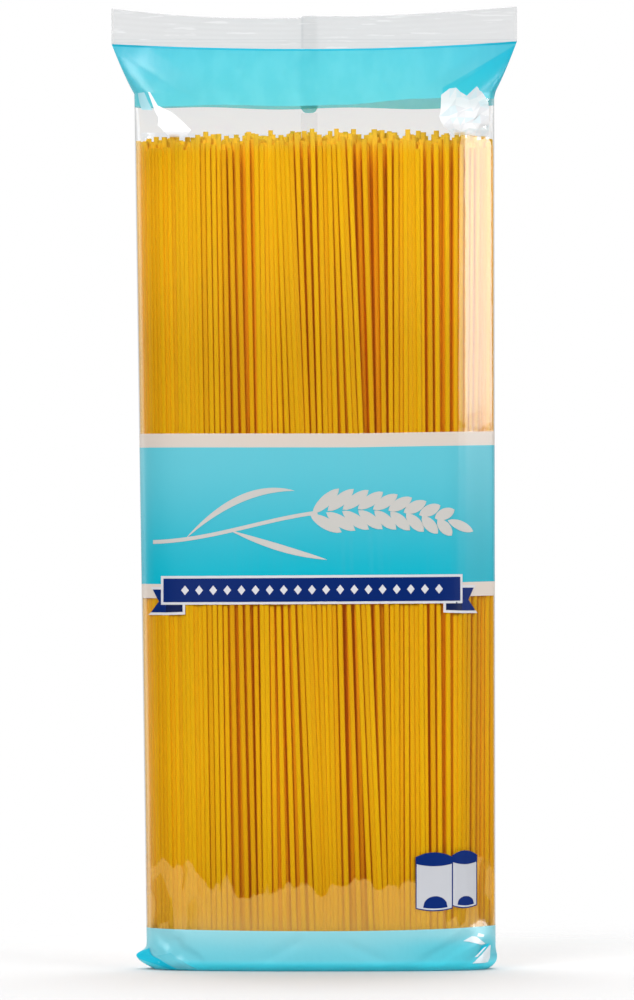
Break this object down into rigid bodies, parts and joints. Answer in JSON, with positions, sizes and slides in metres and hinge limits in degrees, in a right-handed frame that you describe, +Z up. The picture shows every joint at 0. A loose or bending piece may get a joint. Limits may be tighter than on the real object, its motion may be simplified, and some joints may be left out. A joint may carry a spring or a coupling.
{
  "type": "pasta packet",
  "caption": "Clear sealed film packet of long dried pasta standing upright, with a crimped top seal, printed bands and a folded foot.",
  "frame": {"origin": "middle of the packet's footprint, on the surface that it stands on", "axes": "+Z up along the strands, +X across the packet to the right of its printed front, which faces -Y"},
  "size_m": [0.1264, 0.0334, 0.3],
  "materials": {
    "film": "clear glossy packing film over golden dried pasta strands",
    "print": "cyan, cream and navy ink under glossy film",
    "pasta": "dried durum wheat pasta, smooth and dull"
  },
  "bodies": {
    "root": {"packet": "film"}
  },
  "joints": []
}
